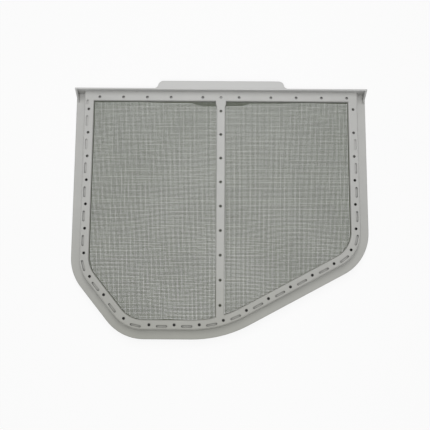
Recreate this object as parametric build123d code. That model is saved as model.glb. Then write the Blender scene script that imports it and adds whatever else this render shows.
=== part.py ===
"""Lint filter of a tumble dryer: one moulded plastic frame that grips one woven mesh sheet.

The filter lies on its back as it would on a table. X runs across it, Y runs up it towards the
grip, and Z points out of its front face. The origin is under the middle of its outer box.
All sizes are in millimetres.
"""
import math
import os

from build123d import *

# Outer sizes
overall_width = 343.2
overall_height = 298.0
overall_depth = 30.0

# Lower outline: a steep cut at the left and a long shallow cut at the right
left_knee_x = -111.9
left_cut_angle = 50.8
right_knee_x = 2.8
right_cut_angle = 28.0
left_side_radius = 54.6
left_knee_radius = 54.6
right_knee_radius = 139.6
right_side_radius = 54.6

# Flange, the blade that slides into the dryer, and the rear wall at its edge
flange_face_height = 13.2
flange_thickness = 2.0
flange_edge_radius = 0.8
skirt_wall = 2.0

# Band, raised round the mesh and placed by its middle line, with a cove at its foot
line_inset = 16.8
band_width = 11.0
band_rise = 9.5
band_depth = 7.2
band_edge_radius = 1.7
band_cove_radius = 2.0
top_band_height = 11.0
top_band_radius = 1.5

# Middle bar and the wider rounded head that ends it at the top band
bar_width = 9.9
bar_edge_radius = 1.2
head_width = 12.2
head_height = 9.6
head_taper_height = 4.6
head_overlap = 2.2
head_taper_radius = 4.0
head_corner_radius = 3.2
head_edge_radius = 0.8

# Top plate and the three-cornered webs at its ends
plate_width = 340.0
plate_thickness = 1.9
plate_edge_radius = 0.5
web_thickness = 2.0
web_height = 10.5

# Grip along the plate's front edge, with swept ends, leaning back
grip_height = 9.5
grip_thickness = 2.4
grip_top_width = 133.8
grip_side_angle = 78.0
grip_foot_radius = 4.6
grip_corner_radius = 6.5
grip_lean_angle = 12.0
grip_root_depth = 0.8

# Finger scoop behind the mesh, under a notch in the plate's rear edge
scoop_mouth_width = 98.0
scoop_floor_width = 50.0
scoop_height = 8.0
scoop_depth = 16.0
scoop_wall = 1.8
scoop_bend_radius = 22.0

# Woven mesh sheet: upright strands in front, level strands behind, each with three thread ridges
mesh_thickness = 0.8
mesh_recess = 3.5
mesh_hold_depth = 3.2
mesh_edge_gap = 0.2
mesh_border_width = 4.4
thread_pitch = 4.2
thread_crown_width = 2.6
thread_ridge_height = 0.15
threads_in_strand = 3

# Marks of the mould's pins: deep in the rim, shallow in the top band, down to the mesh in the bar
pin_radius = 1.65
pin_sides = 12
rim_pin_pitch = 28.1
rim_pin_depth = 6.4
left_first_pin = 21.5
right_first_pin = 20.3
bottom_first_pin = 6.8
slope_last_pin = 6.7
knee_pin_share = 0.31
bend_pin_share = 0.46
top_pin_depth = 2.4
top_pin_inset = 6.7
centre_pin_pitch = 21.3
top_pin_start = 58.6
top_pin_pitch_left = 27.9
top_pin_pitch_right = 29.7
bar_first_pin = 23.2
bar_pin_pitch = 28.1

# Long dents between the rim's pins, a little outside their line
dent_length = 12.4
dent_width = 2.4
dent_corner_width = 0.8
dent_depth = 1.8
dent_offset = 1.6
first_dent_length = 5.4
first_dent_gap = 8.6

# How far a cutter runs past a face
overrun = 1.0

# Places that follow from the sizes
half_width = overall_width / 2
bottom_y = -overall_height / 2
plate_top_y = overall_height / 2 - grip_height
plate_under_y = plate_top_y - plate_thickness
flange_back_height = flange_face_height - flange_thickness
band_face = flange_face_height + band_rise
band_back = band_face - band_depth
mesh_front = band_face - mesh_recess
mesh_back = mesh_front - mesh_thickness
mesh_middle = (mesh_front + mesh_back) / 2
line_x = half_width - line_inset
line_y = bottom_y + line_inset
top_band_low_y = plate_under_y - top_band_height
mesh_inset = line_inset + band_width / 2 - mesh_hold_depth
mesh_top_y = top_band_low_y + mesh_hold_depth
strand_width = threads_in_strand * thread_pitch

# Section planes: XZ looking up the filter, and YZ looking across it from the left
section_up = Plane(origin=(0, 0, 0), x_dir=(-1, 0, 0), z_dir=(0, 1, 0))
section_across = Plane(origin=(0, 0, 0), x_dir=(0, 1, 0), z_dir=(1, 0, 0))


def rim_corners(inset):
    """Four lower corners of the outline before rounding, moved in from the flange's edge."""
    x_side = half_width - inset
    y_low = bottom_y + inset
    left = math.radians(left_cut_angle)
    right = math.radians(right_cut_angle)
    left_x = left_knee_x + inset * math.sin(left)
    left_y = bottom_y + inset * math.cos(left)
    right_x = right_knee_x - inset * math.sin(right)
    right_y = bottom_y + inset * math.cos(right)
    return [
        (-x_side, left_y + (left_x + x_side) * math.tan(left)),
        (left_x - (y_low - left_y) / math.tan(left), y_low),
        (right_x + (y_low - right_y) / math.tan(right), y_low),
        (x_side, right_y + (x_side - right_x) * math.tan(right)),
    ]


def rim_path(inset, top_y):
    """Open path down the left side, round the lower edges and up the right side."""
    x_side = half_width - inset
    points = [(-x_side, top_y)] + rim_corners(inset) + [(x_side, top_y)]
    radii = [left_side_radius, left_knee_radius, right_knee_radius, right_side_radius]
    return FilletPolyline(*points, radius=[radius - inset for radius in radii])


def rim_face(inset, top_y):
    """Area inside the outline, closed by a straight edge at top_y."""
    path = rim_path(inset, top_y)
    return make_face(path + Line(path @ 1, path @ 0))


def slab(face, low, high):
    """Flat area raised into a solid between two heights."""
    return extrude(Pos(0, 0, low) * face, high - low)


def top_edges(solid):
    """Edges round the highest face of a solid."""
    return solid.faces().sort_by(Axis.Z)[-1].edges()


def patch(left, right, low, high):
    """Upright rectangle between four sides."""
    return Pos((left + right) / 2, (low + high) / 2) * Rectangle(right - left, high - low)


def rim_section():
    """Section of the rim: the rear wall, the flange, the cove that carries the flange up into the
    band's outer wall at one thickness, and the band with its rounded shoulders. Inward distance from
    the band's middle goes across and height goes up."""
    edge = -line_inset
    outer = -band_width / 2
    cove = outer - band_cove_radius
    cove_top = flange_face_height + band_cove_radius
    skirt = patch(edge, edge + skirt_wall, 0, flange_face_height)
    flange = patch(edge, cove, flange_back_height, flange_face_height)
    blade = skirt + flange
    blade = fillet(blade.vertices().group_by(Axis.Y)[-1].sort_by(Axis.X)[0], flange_edge_radius)
    bend = Circle(band_cove_radius + flange_thickness) - Circle(band_cove_radius)
    bend = Pos(cove, cove_top) * bend & patch(cove, outer + flange_thickness, flange_back_height, cove_top)
    riser = patch(outer, outer + flange_thickness, cove_top, band_face - band_edge_radius)
    band = patch(outer, -outer, band_back, band_face)
    band = fillet(band.vertices().group_by(Axis.Y)[-1], band_edge_radius)
    return blade + bend + riser + band


def make_rim():
    """Rim carried along the band's middle line."""
    path = rim_path(line_inset, plate_under_y)
    start = Plane(origin=(-line_x, plate_under_y, 0), x_dir=(1, 0, 0), z_dir=(0, -1, 0))
    return sweep(start * rim_section(), path=path)


def make_top_band():
    """Straight band under the plate, with its lower front edge rounded off."""
    height = plate_under_y - top_band_low_y
    middle = Pos(plate_under_y - height / 2, band_face - band_depth / 2)
    section = middle * Rectangle(height, band_depth)
    low_corner = section.vertices().group_by(Axis.Y)[-1].sort_by(Axis.X)[0]
    section = fillet(low_corner, top_band_radius)
    return extrude(Pos(-line_x, 0, 0) * (section_across * section), 2 * line_x)


def make_bar():
    """Middle bar from the lower band to the top band, level with both."""
    section = Pos(0, band_face - band_depth / 2) * Rectangle(bar_width, band_depth)
    section = fillet(section.vertices().group_by(Axis.Y)[-1], bar_edge_radius)
    length = top_band_low_y + head_overlap - line_y
    return extrude(Pos(0, line_y, 0) * (section_up * section), length)


def make_bar_head():
    """Wider rounded end of the bar, laid over the top band's rounded edge."""
    high = top_band_low_y + head_overlap
    low = high - head_height
    wide = head_width / 2
    thin = bar_width / 2
    outline = FilletPolyline(
        (-thin, low), (-wide, low + head_taper_height), (-wide, high),
        (wide, high), (wide, low + head_taper_height), (thin, low),
        radius=[head_taper_radius, head_corner_radius, head_corner_radius, head_taper_radius])
    head = slab(make_face(outline + Line(outline @ 1, outline @ 0)), mesh_front, band_face)
    return fillet(top_edges(head).sort_by(Axis.Y)[1:], head_edge_radius)


def make_plate():
    """Top plate: it stands out in front of the flange and ends level with the rear wall."""
    middle_y = (plate_top_y + plate_under_y) / 2
    plate = Pos(0, middle_y, overall_depth / 2) * Box(plate_width, plate_thickness, overall_depth)
    return fillet(top_edges(plate).filter_by(Axis.X), plate_edge_radius)


def make_webs():
    """Three-cornered web at each end, from the plate's front corner down to the flange."""
    front = overall_depth - plate_edge_radius
    low_y = plate_under_y - web_height
    section = make_face(Polyline(
        (plate_under_y, flange_back_height), (plate_under_y, front),
        (low_y, flange_face_height), (low_y, flange_back_height), close=True))
    web = extrude(section_across * section, web_thickness)
    return [Pos(start, 0, 0) * web for start in (-plate_width / 2, plate_width / 2 - web_thickness)]


def make_grip():
    """Low sheet along the plate's front edge, with swept ends, leaning back."""
    angle = math.radians(grip_side_angle)
    length = grip_height / math.cos(math.radians(grip_lean_angle))
    top_x = grip_top_width / 2 + grip_corner_radius * math.tan(angle / 2)
    foot_x = top_x + length / math.tan(angle)
    end_x = foot_x + grip_foot_radius * math.tan(angle / 2) + overrun
    outline = FilletPolyline(
        (-end_x, 0), (-foot_x, 0), (-top_x, length),
        (top_x, length), (foot_x, 0), (end_x, 0),
        radius=[grip_foot_radius, grip_corner_radius, grip_corner_radius, grip_foot_radius])
    root = Polyline((end_x, 0), (end_x, -grip_root_depth), (-end_x, -grip_root_depth), (-end_x, 0))
    sheet = extrude(make_face(outline + root), -grip_thickness)
    place = Pos(0, plate_top_y, overall_depth - plate_edge_radius) * Rotation(-grip_lean_angle, 0, 0)
    return place * sheet


def scoop_face(grow, top_y):
    """Area of the scoop under the plate: a shallow dish with bent ends, grown by a wall."""
    slope = math.atan2(scoop_height, (scoop_mouth_width - scoop_floor_width) / 2)
    mouth = scoop_mouth_width / 2 + grow / math.sin(slope)
    floor = scoop_floor_width / 2 + grow * math.tan(slope / 2)
    low_y = plate_under_y - scoop_height - grow
    bend = scoop_bend_radius + grow
    outline = FilletPolyline(
        (-mouth, plate_under_y), (-floor, low_y), (floor, low_y), (mouth, plate_under_y),
        radius=[bend, bend])
    lid = Polyline((mouth, plate_under_y), (mouth, top_y), (-mouth, top_y), (-mouth, plate_under_y))
    return make_face(outline + lid)


def make_scoop():
    """Wall of the finger scoop, closed towards the mesh."""
    return slab(scoop_face(scoop_wall, plate_top_y), 0, scoop_depth)


def make_scoop_hollow():
    """Space for the fingertips, open to the rear and up through a notch in the plate."""
    return slab(scoop_face(0, plate_top_y + overrun), -overrun, scoop_depth - scoop_wall)


def rim_pin_stations(path):
    """Distances along the band's middle line at which the mould's pins stood, from the top left."""
    ends = [0.0]
    for edge in path.edges():
        ends.append(ends[-1] + edge.length)
    left_bend, cut_end, left_knee, bottom_end, right_knee, slope_end, right_bend, total = ends[2:]
    pitch = rim_pin_pitch
    left_count = 1 + int((left_bend - left_first_pin) / pitch)
    bottom_count = 2 + int((bottom_end - left_knee - bottom_first_pin) / pitch)
    slope_count = 2 + int((slope_end - right_knee - slope_last_pin) / pitch)
    right_count = 1 + int((total - right_bend - right_first_pin) / pitch)
    stations = [left_first_pin + pitch * step for step in range(left_count)]
    stations.append((left_bend + cut_end) / 2)
    stations.append(cut_end + (left_knee - cut_end) * knee_pin_share)
    stations += [left_knee + bottom_first_pin + pitch * step for step in range(bottom_count)]
    stations += [slope_end - slope_last_pin - pitch * step for step in reversed(range(slope_count))]
    stations.append(slope_end + (right_bend - slope_end) * bend_pin_share)
    stations += [total - right_first_pin - pitch * step for step in reversed(range(right_count))]
    return stations


def top_pin_places():
    """Distances from the middle at which the top band's pins stood."""
    last = line_x - band_width / 2
    left_count = 1 + int((last - top_pin_start) / top_pin_pitch_left)
    right_count = 1 + int((last - top_pin_start) / top_pin_pitch_right)
    left = [-top_pin_start - top_pin_pitch_left * step for step in range(left_count)]
    right = [top_pin_start + top_pin_pitch_right * step for step in range(right_count)]
    return left + [-centre_pin_pitch, 0, centre_pin_pitch] + right


def bar_pin_places():
    """Heights up the filter at which the bar's pins stood."""
    first = plate_under_y - bar_first_pin
    count = 1 + int((first - line_y - band_width) / bar_pin_pitch)
    return [first - bar_pin_pitch * step for step in range(count)]


def pin_hole(x, y, depth):
    """Round blind hole from the band's face down."""
    hole = RegularPolygon(pin_radius, pin_sides)
    return slab(Pos(x, y) * hole, band_face - depth, band_face + overrun)


def dent(path, station, length):
    """Long dent with cut corners beside the pins' line, along the rim."""
    spot = path.position_at(station, position_mode=PositionMode.LENGTH)
    along = path.tangent_at(station, position_mode=PositionMode.LENGTH)
    place = Pos(spot.X + along.Y * dent_offset, spot.Y - along.X * dent_offset)
    turn = Rotation(0, 0, math.degrees(math.atan2(along.Y, along.X)))
    outline = Rectangle(length, dent_width)
    outline = chamfer(outline.vertices(), dent_corner_width)
    return slab(place * turn * outline, band_face - dent_depth, band_face + overrun)


def make_rim_marks():
    """Pin holes and dents of the rim, the top band and the bar."""
    path = rim_path(line_inset, plate_under_y)
    stations = rim_pin_stations(path)
    marks = []
    for station in stations:
        spot = path.position_at(station, position_mode=PositionMode.LENGTH)
        marks.append(pin_hole(spot.X, spot.Y, rim_pin_depth))
    marks += [pin_hole(x, plate_under_y - top_pin_inset, top_pin_depth) for x in top_pin_places()]
    marks += [pin_hole(0, y, band_face - mesh_front) for y in bar_pin_places()]
    marks += [dent(path, (one + two) / 2, dent_length) for one, two in zip(stations, stations[1:-1])]
    marks.append(dent(path, stations[0] - first_dent_gap, first_dent_length))
    return marks


def make_mesh_slot():
    """Space that the mesh sheet fills inside the frame."""
    area = rim_face(mesh_inset - mesh_edge_gap, mesh_top_y + mesh_edge_gap)
    return slab(area, mesh_back, mesh_front)


def make_frame():
    """The whole moulded frame, with its slot, hollow and marks cut last."""
    frame = make_plate() + make_webs() + make_grip() + make_scoop()
    frame = frame + make_top_band() + make_bar() + make_bar_head()
    frame = frame + make_rim()
    frame = frame - make_scoop_hollow() - make_mesh_slot()
    return frame - make_rim_marks()


def strand_section(front):
    """Section of one strand: half the sheet's thickness, with a flat-topped ridge for each thread."""
    side = 1 if front else -1
    base = mesh_middle
    crown = mesh_middle + side * mesh_thickness / 2
    furrow = crown - side * thread_ridge_height
    points = [(-strand_width / 2, base)]
    for thread in range(threads_in_strand):
        middle = (thread - (threads_in_strand - 1) / 2) * thread_pitch
        points += [(middle - thread_pitch / 2, furrow), (middle - thread_crown_width / 2, crown),
                   (middle + thread_crown_width / 2, crown)]
    points += [(strand_width / 2, furrow), (strand_width / 2, base)]
    return make_face(Polyline(*points, close=True))


def strands(section, reach, length):
    """Strands side by side, as wide as the gaps between them, each as long as the filter."""
    count = 1 + int(reach / 2 / strand_width)
    strand = extrude(section, length / 2, both=True)
    return [strand.moved(Location((2 * strand_width * step, 0, 0))) for step in range(-count, count + 1)]


def make_mesh():
    """Woven sheet as one wall: upright strands in front of level ones, open between them, with a
    plain border that the band holds."""
    area = rim_face(mesh_inset, mesh_top_y)
    pane = rim_face(mesh_inset + mesh_border_width, mesh_top_y - mesh_border_width)
    border = slab(area - pane, mesh_back, mesh_front)
    inside = slab(area, mesh_back, mesh_front)
    upright = strands(section_up * strand_section(True), half_width, overall_height)
    level = strands(section_up * strand_section(False), overall_height / 2, overall_width)
    turned = [Rotation(0, 0, 90) * strand for strand in level]
    return border + [inside & strand for strand in upright + turned]


os.makedirs("parts", exist_ok=True)
for name, make in {"frame": make_frame, "mesh_screen": make_mesh}.items():
    export_step(make(), f"parts/{name}.step")
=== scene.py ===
"""Tumble dryer lint filter seen from the front, lying on its back on a white table.

The moulded frame gets a satin plastic, and the plain sheet in it is replaced by threads that are
woven over and under each other. Lengths are in metres. X runs across the filter, Y runs up it
towards the grip, and Z points out of its front face.
"""

import math

import bpy
import numpy as np
from mathutils import Matrix, Vector


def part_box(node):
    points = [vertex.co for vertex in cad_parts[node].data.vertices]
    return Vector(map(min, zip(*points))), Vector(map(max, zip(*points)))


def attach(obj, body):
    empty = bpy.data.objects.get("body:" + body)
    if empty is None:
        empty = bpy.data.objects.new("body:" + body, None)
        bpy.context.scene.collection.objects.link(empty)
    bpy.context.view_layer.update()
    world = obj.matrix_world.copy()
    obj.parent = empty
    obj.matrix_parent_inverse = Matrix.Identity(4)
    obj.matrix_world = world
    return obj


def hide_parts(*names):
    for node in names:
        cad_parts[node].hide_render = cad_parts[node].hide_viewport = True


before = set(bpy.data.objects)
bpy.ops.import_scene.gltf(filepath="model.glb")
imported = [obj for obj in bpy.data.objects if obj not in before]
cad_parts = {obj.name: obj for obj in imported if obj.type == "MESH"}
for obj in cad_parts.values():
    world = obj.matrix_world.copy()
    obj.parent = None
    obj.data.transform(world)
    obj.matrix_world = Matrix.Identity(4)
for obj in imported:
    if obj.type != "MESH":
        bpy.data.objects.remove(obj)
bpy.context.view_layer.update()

MM = 0.001

# Camera: 0.64 m from the filter, looking from 7 degrees below its middle
image_side_px = 430
focal_length_px = 556.5
sensor_width_mm = 36.0
camera_aim = (-6.2 * MM, -7.85 * MM, 19.0 * MM)
camera_distance = 640 * MM
camera_tilt = math.radians(7.228)
camera_roll = math.radians(0.345)

# Lower outline of the flange: a steep cut at the left and a long shallow cut at the right
left_knee_x = -111.9 * MM
left_cut_angle = math.radians(50.8)
right_knee_x = 2.8 * MM
right_cut_angle = math.radians(28.0)
outline_radii = (54.6 * MM, 54.6 * MM, 139.6 * MM, 54.6 * MM)

# The sheet's edge lies this far in from the flange's edge, inside the slot of the band
sheet_inset = 19.1 * MM

# Weave: threads crossing over and under at one pitch. Each strays a hair from its place and its tone
thread_pitch = 1.43 * MM
thread_width = 0.70 * MM
thread_height = 0.30 * MM
crossing_rise = 0.15 * MM
thread_stray = 0.02 * MM
tone_stray = 0.12
weave_seed = 7

# Wide gaps: the numbers of threads between them, how far each of the two threads moves aside, and how
# much paler those threads are
upright_gaps = ((3, 3, 3, 4), 0.08 * MM, 0.30)
level_gaps = ((2, 2, 3), 0.08 * MM, 0.34)
# Each gap opens and closes along its length in waves: how much, and the shortest wave
upright_opening = (0.40, 45 * MM)
level_opening = (0.60, 30 * MM)
usual_opening = 0.6
waves_in_gap = 2
# Threads wander together: how far, shortest length across them and along them
upright_wander = (0.30 * MM, 70 * MM, 140 * MM)
level_wander = (0.50 * MM, 70 * MM, 100 * MM)
waves_in_field = 8
# Waves are up to this many times as long as the shortest
longest_wave = 3

# Grain and slow drift of tone
drift_detail = 3.0
grain_detail = 2.0
middle_of_noise = 0.5

# Moulded plastic: a painted highlight makes its edges paler where the rounded normal leans away from the
# face's own
plastic_colour = (0.50, 0.50, 0.485, 1)
plastic_drift = {"Per metre": 45.0, "Amount": 0.12}
plastic_grain = {"Per metre": 2200.0, "Roughness": 0.50, "Spread": 0.22}
plastic_bump = {"Strength": 0.35, "Distance": 0.06 * MM}
plastic_ior = 1.46
edge_radius = 1.2 * MM
edge_samples = 8
edge_highlight_cosines = (0.99, 0.85)
edge_highlight_share = 0.4
edge_highlight_colour = (0.60, 0.60, 0.585, 1)

# Painted light: plate and grip are painted paler above these heights, and painted shade, darker and
# yellower, grows towards the lower end
plate_light_heights = (23.5 * MM, 25.5 * MM)
plate_light_colour = (0.60, 0.60, 0.59, 1)
lower_shade_rows = (110 * MM, -150 * MM)
lower_shade_power = 2.0
lower_shade_tint = (0.70, 0.70, 0.65, 1)

# Painted shade fills the band's marks, where they are closed in. The marks of the band's upper part and of
# the bar have little of it, and the top row has more
recess_shade_colour = (0.015, 0.015, 0.014, 1)
recess_shade_reach = 4 * MM
recess_shade_samples = 12
recess_shade_openness = (0.57, 0.20)
recess_shade_heights = (15.9 * MM, 22.6 * MM)
recess_shade_rows = (62 * MM, 38 * MM)
light_recess_shade = 0.15
top_mark_rows = (127.5 * MM, 129 * MM)
top_mark_shade = 0.5
bar_mark_reach = 3.5 * MM
bar_foot_y = -122 * MM

# Thread: from dark to pale by its own tone, and darker and browner towards the lower end as painted shade
thread_colours = ((0.115, 0.131, 0.095, 1), (0.28, 0.305, 0.245, 1))
thread_shade_rows = (120 * MM, -130 * MM)
thread_shade_tint = (0.56, 0.57, 0.44, 1)
thread_drift = {"Per metre": 30.0, "Amount": 0.15}
thread_grain = {"Per metre": 5200.0, "Roughness": 0.42, "Spread": 0.2}
thread_bump = {"Strength": 0.3, "Distance": 0.03 * MM}
thread_ior = 1.5

# Floor, room and lamps
white = (1, 1, 1, 1)
floor_half = 3.0
floor_colour = (0.9, 0.9, 0.9, 1)
floor_drift = {"Per metre": 4.0, "Amount": 0.04}
floor_white_share = 0.85
room_strength = 0.31
key_place = (-0.02, 0.45, 1.05)
key_sides = (0.25, 0.80)
key_power = 4.7
front_place = (-0.03, -0.25, 0.92)
front_sides = (0.20, 0.20)
front_power = 2.7


def add_object(name, data):
    """New object with this data, in the scene."""
    made = bpy.data.objects.new(name, data)
    bpy.context.scene.collection.objects.link(made)
    return made


def place_camera():
    """Camera turned about X by its tilt, moved back from its aim, and turned by its roll."""
    lens = bpy.data.cameras.new("camera")
    lens.sensor_width = sensor_width_mm
    lens.lens = focal_length_px / image_side_px * sensor_width_mm
    camera = add_object("camera", lens)
    tilted = Matrix.Translation(camera_aim) @ Matrix.Rotation(camera_tilt, 4, "X")
    back = Matrix.Translation((0, 0, camera_distance))
    camera.matrix_world = tilted @ back @ Matrix.Rotation(camera_roll, 4, "Z")
    bpy.context.scene.camera = camera


# Small helpers for the node trees

def feed(tree, node, inputs):
    """Sets a node's inputs. Each is a value, or the output socket that feeds it."""
    for name, value in inputs.items():
        if isinstance(value, bpy.types.NodeSocket):
            tree.links.new(value, node.inputs[name])
        else:
            node.inputs[name].default_value = value
    return node


def add_node(tree, kind, inputs=None, **settings):
    """New shader node with its settings and inputs."""
    made = tree.nodes.new("ShaderNode" + kind)
    for name, value in settings.items():
        setattr(made, name, value)
    return feed(tree, made, inputs or {})


def compute(tree, operation, *values):
    """Output of one step of arithmetic on values or sockets."""
    return add_node(tree, "Math", dict(enumerate(values)), operation=operation).outputs[0]


def span(tree, value, start, end, low=0.0, high=1.0):
    """Value that goes in a straight line from low to high between start and end, and no further."""
    return add_node(tree, "MapRange", {
        "Value": value, "From Min": start, "From Max": end, "To Min": low, "To Max": high}).outputs[0]


def blend(tree, share, first, second, way="MIX"):
    """First colour mixed with, or multiplied by, this share of the second."""
    return add_node(tree, "Mix", {"Factor": share, "A": first, "B": second},
                    data_type="RGBA", blend_type=way).outputs["Result"]


def new_group(name, inputs, outputs):
    """Empty node group with named sockets, as (tree, its inputs as sockets, its output node)."""
    tree = bpy.data.node_groups.new(name, "ShaderNodeTree")
    for way, sockets in (("INPUT", inputs), ("OUTPUT", outputs)):
        for label, kind in sockets.items():
            tree.interface.new_socket(label, in_out=way, socket_type="NodeSocket" + kind)
    return tree, tree.nodes.new("NodeGroupInput").outputs, tree.nodes.new("NodeGroupOutput")


def use_group(tree, group, inputs):
    """Places a node group in a tree with its own values."""
    made = tree.nodes.new("ShaderNodeGroup")
    made.node_tree = group
    return feed(tree, made, inputs)


def new_material(name):
    """Material with an empty tree, as (material, tree, output node)."""
    material = bpy.data.materials.new(name)
    material.use_nodes = True
    tree = material.node_tree
    tree.nodes.clear()
    return material, tree, tree.nodes.new("ShaderNodeOutputMaterial")


# Effects that more than one material uses

def make_tone_drift():
    """Slow change of tone over a surface: colour (1 + amount (noise - 1/2))."""
    tree, given, result = new_group(
        "tone_drift", {"Place": "Vector", "Colour": "Color", "Per metre": "Float", "Amount": "Float"},
        {"Colour": "Color"})
    noise = add_node(tree, "TexNoise", {
        "Vector": given["Place"], "Scale": given["Per metre"], "Detail": drift_detail})
    centred = compute(tree, "SUBTRACT", noise.outputs["Fac"], middle_of_noise)
    change = compute(tree, "MULTIPLY_ADD", centred, given["Amount"], 1.0)
    toned = add_node(tree, "VectorMath", {0: given["Colour"], "Scale": change}, operation="SCALE")
    tree.links.new(toned.outputs[0], result.inputs["Colour"])
    return tree


def make_fine_grain():
    """Fine grain: the noise as a height for bump, and roughness + spread (noise - 1/2)."""
    tree, given, result = new_group(
        "fine_grain", {"Place": "Vector", "Per metre": "Float", "Roughness": "Float", "Spread": "Float"},
        {"Height": "Float", "Roughness": "Float"})
    noise = add_node(tree, "TexNoise", {
        "Vector": given["Place"], "Scale": given["Per metre"], "Detail": grain_detail})
    centred = compute(tree, "SUBTRACT", noise.outputs["Fac"], middle_of_noise)
    rough = compute(tree, "MULTIPLY_ADD", centred, given["Spread"], given["Roughness"])
    tree.links.new(noise.outputs["Fac"], result.inputs["Height"])
    tree.links.new(rough, result.inputs["Roughness"])
    return tree


def recess_shade_share(tree, at):
    """Share of painted shade at a place: sunk (from how closed in it is) x in band (from its height) x the
    smaller of what its row and what the bar allow."""
    hollow = add_node(tree, "AmbientOcclusion", {"Distance": recess_shade_reach},
                      samples=recess_shade_samples, only_local=True)
    sunk = span(tree, hollow.outputs["AO"], *recess_shade_openness)
    by_row = compute(tree, "ADD", span(tree, at["Y"], *recess_shade_rows, low=light_recess_shade),
                     span(tree, at["Y"], *top_mark_rows, high=top_mark_shade))
    beside_bar = compute(tree, "GREATER_THAN", compute(tree, "ABSOLUTE", at["X"]), bar_mark_reach)
    below_bar = compute(tree, "LESS_THAN", at["Y"], bar_foot_y)
    off_bar = compute(tree, "MAXIMUM", beside_bar, below_bar)
    allowed = compute(tree, "MINIMUM", by_row, compute(tree, "MAXIMUM", off_bar, light_recess_shade))
    in_band = compute(tree, "MULTIPLY", compute(tree, "GREATER_THAN", at["Z"], recess_shade_heights[0]),
                      compute(tree, "LESS_THAN", at["Z"], recess_shade_heights[1]))
    return compute(tree, "MULTIPLY", compute(tree, "MULTIPLY", sunk, in_band), allowed)


def make_moulded_plastic(tone_drift, fine_grain):
    """Satin light grey plastic: spark-eroded grain, slow tone drift, edges painted paler as a highlight,
    plate and grip painted paler as light, painted shade in the band's marks, and painted shade, darker and
    yellower, that grows towards the end deepest in the dryer."""
    material, tree, output = new_material("moulded_plastic")
    place = add_node(tree, "TexCoord").outputs["Object"]
    at = add_node(tree, "SeparateXYZ", {0: place}).outputs
    rounded = add_node(tree, "Bevel", {"Radius": edge_radius}, samples=edge_samples).outputs[0]
    straight = add_node(tree, "NewGeometry").outputs["Normal"]
    facing = add_node(tree, "VectorMath", {0: rounded, 1: straight}, operation="DOT_PRODUCT")
    # Painted highlight: edges whose rounded normal leans away from the face's own are painted paler
    edge = span(tree, facing.outputs["Value"], *edge_highlight_cosines, high=edge_highlight_share)
    body = use_group(tree, tone_drift, {"Place": place, "Colour": plastic_colour, **plastic_drift})
    colour = blend(tree, edge, body.outputs["Colour"], edge_highlight_colour)
    # Painted light: the plate and grip above these heights are painted paler, for the extra light their
    # faces catch
    colour = blend(tree, span(tree, at["Z"], *plate_light_heights), colour, plate_light_colour)
    # Painted shade: darker and a little yellower towards the lower end, for the light falling off down the
    # filter
    lower_shade = compute(tree, "POWER", span(tree, at["Y"], *lower_shade_rows), lower_shade_power)
    colour = blend(tree, lower_shade, colour, lower_shade_tint, way="MULTIPLY")
    # Painted shade: the band's closed-in marks are painted nearly black
    colour = blend(tree, recess_shade_share(tree, at), colour, recess_shade_colour)
    grain = use_group(tree, fine_grain, {"Place": place, **plastic_grain})
    bump = add_node(tree, "Bump", {
        "Height": grain.outputs["Height"], "Normal": rounded, **plastic_bump})
    shader = add_node(tree, "BsdfPrincipled", {
        "Base Color": colour, "Roughness": grain.outputs["Roughness"],
        "Normal": bump.outputs[0], "IOR": plastic_ior})
    tree.links.new(shader.outputs[0], output.inputs["Surface"])
    return material


def make_thread_plastic(tone_drift, fine_grain):
    """Grey-green thread: each thread's own tone comes with the mesh, with a slow drift over the sheet,
    and painted shade makes it darker and browner towards the lower end."""
    material, tree, output = new_material("woven_thread")
    place = add_node(tree, "TexCoord").outputs["Object"]
    tone = add_node(tree, "Attribute", attribute_name="thread_tone").outputs["Fac"]
    row = add_node(tree, "SeparateXYZ", {0: place}).outputs["Y"]
    own = blend(tree, tone, *thread_colours)
    # Painted shade: darker and browner towards the lower end, for the light falling off down the sheet
    shaded_thread = blend(tree, span(tree, row, *thread_shade_rows), own, thread_shade_tint, way="MULTIPLY")
    body = use_group(tree, tone_drift, {"Place": place, "Colour": shaded_thread, **thread_drift})
    grain = use_group(tree, fine_grain, {"Place": place, **thread_grain})
    bump = add_node(tree, "Bump", {"Height": grain.outputs["Height"], **thread_bump})
    shader = add_node(tree, "BsdfPrincipled", {
        "Base Color": body.outputs["Colour"], "Roughness": grain.outputs["Roughness"],
        "Normal": bump.outputs[0], "IOR": thread_ior})
    tree.links.new(shader.outputs[0], output.inputs["Surface"])
    return material


# Outline of the sheet

def sheet_corners():
    """Corners of the sheet before rounding, from the top left down, round and up to the top right.
    Each side is the flange's side moved in by the sheet's inset."""
    top_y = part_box("mesh_screen")[1].y
    half_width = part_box("frame")[1].x
    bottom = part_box("frame")[0].y
    x_side = half_width - sheet_inset
    y_low = bottom + sheet_inset
    left_x = left_knee_x + sheet_inset * math.sin(left_cut_angle)
    left_y = bottom + sheet_inset * math.cos(left_cut_angle)
    right_x = right_knee_x - sheet_inset * math.sin(right_cut_angle)
    right_y = bottom + sheet_inset * math.cos(right_cut_angle)
    return np.array([
        (-x_side, top_y),
        (-x_side, left_y + (left_x + x_side) * math.tan(left_cut_angle)),
        (left_x - (y_low - left_y) / math.tan(left_cut_angle), y_low),
        (right_x + (y_low - right_y) / math.tan(right_cut_angle), y_low),
        (x_side, right_y + (x_side - right_x) * math.tan(right_cut_angle)),
        (x_side, top_y),
    ])


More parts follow.
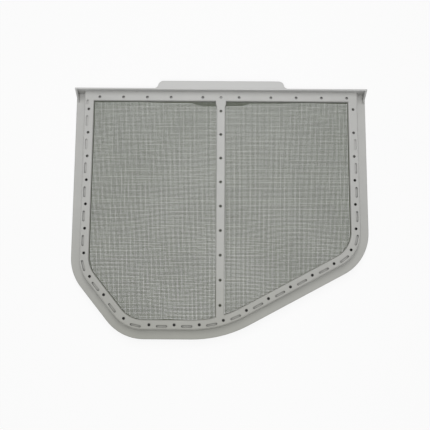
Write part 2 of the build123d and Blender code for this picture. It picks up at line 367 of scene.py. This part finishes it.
def inside_sheet(places):
    """True for each place on the sheet: left of every side as one walks round it, and within the
    rounding's radius wherever the place lies past both ends of that rounding."""
    corners = sheet_corners()
    along = np.roll(corners, -1, axis=0) - corners
    along /= np.linalg.norm(along, axis=1, keepdims=True)
    inward = np.stack([-along[:, 1], along[:, 0]], axis=1)
    keep = np.ones(places.shape[:-1], bool)
    for corner, way in zip(corners, inward):
        keep &= (places - corner) @ way >= 0
    for number, full_radius in enumerate(outline_radii, start=1):
        radius = full_radius - sheet_inset
        before, after = along[number - 1], along[number]
        turn = math.acos(float(before @ after))
        centre = corners[number] - before * radius * math.tan(turn / 2) + inward[number - 1] * radius
        offset = places - centre
        past_ends = (offset @ before > 0) & (offset @ after < 0)
        keep &= ~past_ends | (np.linalg.norm(offset, axis=-1) <= radius)
    return keep


# Weave

def slow_field(rng, x, y, amount, across, along):
    """Sum of waves cos(2 pi (x / a + y / b) + start), with a from one to three times the shortest
    length across and b likewise along, either way up. Its spread is the amount."""
    total = np.zeros(np.broadcast(x, y).shape)
    for _ in range(waves_in_field):
        stretch = rng.uniform(1, longest_wave, 2) * rng.choice((-1, 1), 2)
        start = rng.uniform(0, 2 * np.pi)
        total += np.cos(2 * np.pi * (x / (across * stretch[0]) + y / (along * stretch[1])) + start)
    return amount * total * math.sqrt(2 / waves_in_field)


def open_gaps(rng, threads, along, gaps, opening):
    """Sideways shift and tone of each thread at each place s along it. A wide gap's strength is
    usual + sum of (swing / 2) cos(2 pi s / length + start) over two waves, kept from 0 to 1. The
    thread before the gap shifts back by reach times it, and the one after the gap shifts on."""
    steps, reach, paler = gaps
    swing, shortest = opening
    first = np.cumsum(rng.choice(steps, threads))
    first = first[first < threads - 1][:, None]
    strength = np.full((len(first), along.size), usual_opening)
    for _ in range(waves_in_gap):
        length = shortest * rng.uniform(1, longest_wave, first.shape)
        start = rng.uniform(0, 2 * np.pi, first.shape)
        strength += swing / waves_in_gap * np.cos(2 * np.pi * along.reshape(1, -1) / length + start)
    strength = np.clip(strength, 0, 1)
    shift, tone = np.zeros((2, threads, along.size))
    for side, way in ((0, -1), (1, 1)):
        shift[first[:, 0] + side] += way * reach * strength
        tone[first[:, 0] + side] += paler * strength
    return shift, tone


def crossing_places(rng):
    """Places where the threads cross, as two grids of x and y: even steps both ways, with the wide
    gaps, the slow wander, and each thread a hair off its place. Also the upright and level tones."""
    low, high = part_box("mesh_screen")
    columns = int((high.x - low.x) / thread_pitch / 2)
    rows = int((high.y - low.y) / thread_pitch / 2)
    middle_y = (low.y + high.y) / 2
    x = (np.arange(-columns, columns + 1) * thread_pitch)[:, None]
    y = (middle_y + np.arange(-rows, rows + 1) * thread_pitch)[None, :]
    gap_x, upright_tone = open_gaps(rng, x.size, y, upright_gaps, upright_opening)
    gap_y, level_tone = open_gaps(rng, y.size, x, level_gaps, level_opening)
    move_x = gap_x + slow_field(rng, x, y, *upright_wander) + thread_stray * rng.standard_normal(x.shape)
    move_y = gap_y.T + slow_field(rng, y, x, *level_wander) + thread_stray * rng.standard_normal(y.shape)
    upright_tone, level_tone = [np.clip(tone + tone_stray * rng.standard_normal((len(tone), 1)), 0, 1)
                                for tone in (upright_tone, level_tone)]
    return x + move_x, y + move_y, upright_tone, level_tone.T


def tubes(middles, across, keep):
    """Four-sided tubes through rows of points. middles is (threads, points, 3). At each kept point
    stands a ring of corners: the point plus or minus half the width across and half the height up.
    Neighbouring rings are joined by four sides, and each run of kept points is closed by two caps.
    Returns the corners and the faces."""
    up = np.array((0, 0, thread_height / 2))
    sideways = np.array(across) * thread_width / 2
    rings = np.stack([middles + sideways - up, middles + sideways + up,
                      middles - sideways + up, middles - sideways - up], axis=2)
    number = np.cumsum(keep.ravel()).reshape(keep.shape) - 1
    first = 4 * number
    joined = keep[:, :-1] & keep[:, 1:]
    here, there = first[:, :-1][joined], first[:, 1:][joined]
    sides = [np.stack([here + a, there + a, there + b, here + b], axis=1)
             for a, b in ((0, 1), (1, 2), (2, 3), (3, 0))]
    starts = keep & ~np.pad(keep, ((0, 0), (1, 0)))[:, :-1]
    ends = keep & ~np.pad(keep, ((0, 0), (0, 1)))[:, 1:]
    start_caps = first[starts][:, None] + np.array((0, 1, 2, 3))
    end_caps = first[ends][:, None] + np.array((3, 2, 1, 0))
    return rings[keep].reshape(-1, 3), np.concatenate(sides + [start_caps, end_caps])


def mesh_piece(name, corners, faces, tone, material):
    """Object from arrays of corners and four-cornered faces, smooth, with one tone for each corner."""
    mesh = bpy.data.meshes.new(name)
    mesh.vertices.add(len(corners))
    mesh.vertices.foreach_set("co", corners.astype(np.float32).ravel())
    mesh.loops.add(faces.size)
    mesh.loops.foreach_set("vertex_index", faces.astype(np.int32).ravel())
    mesh.polygons.add(len(faces))
    mesh.polygons.foreach_set("loop_start", np.arange(0, faces.size, 4, dtype=np.int32))
    mesh.update(calc_edges=True)
    mesh.polygons.foreach_set("use_smooth", np.ones(len(faces), bool))
    mesh.attributes.new("thread_tone", "FLOAT", "POINT").data.foreach_set("value", tone.astype(np.float32))
    mesh.materials.append(material)
    return add_object(name, mesh)


def weave_screen(material):
    """Upright and level threads of both panes. The sheet passes behind the bar, where the two halves
    of each level thread meet. Where an upright thread is in front at a crossing, the level one is
    behind, and the next crossing along either of them is the other way round."""
    rng = np.random.default_rng(weave_seed)
    x, y, upright_tone, level_tone = crossing_places(rng)
    low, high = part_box("mesh_screen")
    keep = inside_sheet(np.stack([x, y], axis=-1))
    columns, rows = x.shape
    over = np.where((np.arange(columns)[:, None] + np.arange(rows)) % 2 == 0, 1.0, -1.0)
    middle_z = (low.z + high.z) / 2
    middle_column = columns // 2
    pieces = {}
    for side, part in (("left", slice(0, middle_column + 1)), ("right", slice(middle_column, columns))):
        # Across points to the right of the way along, which turns every tube's faces outwards
        for way, sign, tone, across in (
                ("upright", 1.0, upright_tone, (1.0, 0.0, 0.0)),
                ("level", -1.0, level_tone, (0.0, -1.0, 0.0))):
            z = middle_z + sign * over * crossing_rise
            middles = np.stack([x, y, z], axis=-1)[part]
            kept, tone = keep[part].copy(), tone[part]
            if way == "upright" and side == "right":
                kept[0] = False  # the middle thread is already in the left pane
            if way == "level":
                middles, kept, tone = middles.swapaxes(0, 1), kept.T, tone.T
            corners, faces = tubes(middles, across, kept)
            pieces[side, way] = mesh_piece(
                f"{side}_{way}_threads", corners, faces, np.repeat(tone[kept], 4), material)
    return pieces, keep


def declare_screen(pieces, keep):
    """The woven pieces stand for the plain sheet, which is hidden. Each pane's pieces are attached to the
    root body."""
    columns = keep.shape[0]
    middle = columns // 2
    for side, part in (("left", slice(0, middle)), ("right", slice(middle + 1, columns))):
        upright, level = pieces[side, "upright"], pieces[side, "level"]
        for piece in (upright, level):
            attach(piece, "root")
            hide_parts("mesh_screen")


# Floor, room and lamps

def lay_floor(tone_drift):
    """White table top. Seen directly, in a reflection or through something clear, it is mostly plain
    white, and the rest of its tone is lit, so that it keeps the filter's shadow."""
    material, tree, output = new_material("white_table")
    place = add_node(tree, "TexCoord").outputs["Object"]
    body = use_group(tree, tone_drift, {"Place": place, "Colour": floor_colour, **floor_drift})
    lit = add_node(tree, "BsdfDiffuse", {"Color": body.outputs["Colour"]})
    plain = add_node(tree, "Emission", {"Color": white, "Strength": 1.0})
    ray = add_node(tree, "LightPath").outputs
    seen = compute(tree, "MAXIMUM", ray["Is Camera Ray"], ray["Is Glossy Ray"])
    seen = compute(tree, "MAXIMUM", seen, ray["Is Transmission Ray"])
    share = compute(tree, "MULTIPLY", seen, floor_white_share)
    mixed = add_node(tree, "MixShader", {0: share, 1: lit.outputs[0], 2: plain.outputs[0]})
    tree.links.new(mixed.outputs[0], output.inputs["Surface"])
    mesh = bpy.data.meshes.new("table_top")
    corners = [(x * floor_half, y * floor_half, 0) for x, y in ((-1, -1), (1, -1), (1, 1), (-1, 1))]
    mesh.from_pydata(corners, [], [(0, 1, 2, 3)])
    mesh.materials.append(material)
    table = add_object("table_top", mesh)


def light_room():
    """Even white room that lights the filter softly, and is plain white where it is seen."""
    world = bpy.data.worlds.new("white_room")
    bpy.context.scene.world = world
    world.use_nodes = True
    tree = world.node_tree
    tree.nodes.clear()
    ray = add_node(tree, "LightPath").outputs
    strength = span(tree, ray["Is Camera Ray"], 0.0, 1.0, low=room_strength)
    sky = add_node(tree, "Background", {"Color": white, "Strength": strength})
    output = tree.nodes.new("ShaderNodeOutputWorld")
    tree.links.new(sky.outputs[0], output.inputs["Surface"])


def hang_lamp(name, place, sides, power):
    """Soft rectangular lamp, turned with its back away from the origin so that it shines on it."""
    lamp = bpy.data.lights.new(name, "AREA")
    lamp.shape = "RECTANGLE"
    lamp.size, lamp.size_y = sides
    lamp.energy = power
    facing = Vector(place).to_track_quat("Z", "Y").to_matrix().to_4x4()
    add_object(name, lamp).matrix_world = Matrix.Translation(place) @ facing


place_camera()
bpy.context.scene.view_settings.view_transform = "Standard"
light_room()
hang_lamp("key_lamp", key_place, key_sides, key_power)
hang_lamp("front_lamp", front_place, front_sides, front_power)

drift = make_tone_drift()
grain = make_fine_grain()
lay_floor(drift)
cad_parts["frame"].material_slots[0].material = make_moulded_plastic(drift, grain)
woven, on_sheet = weave_screen(make_thread_plastic(drift, grain))
declare_screen(woven, on_sheet)
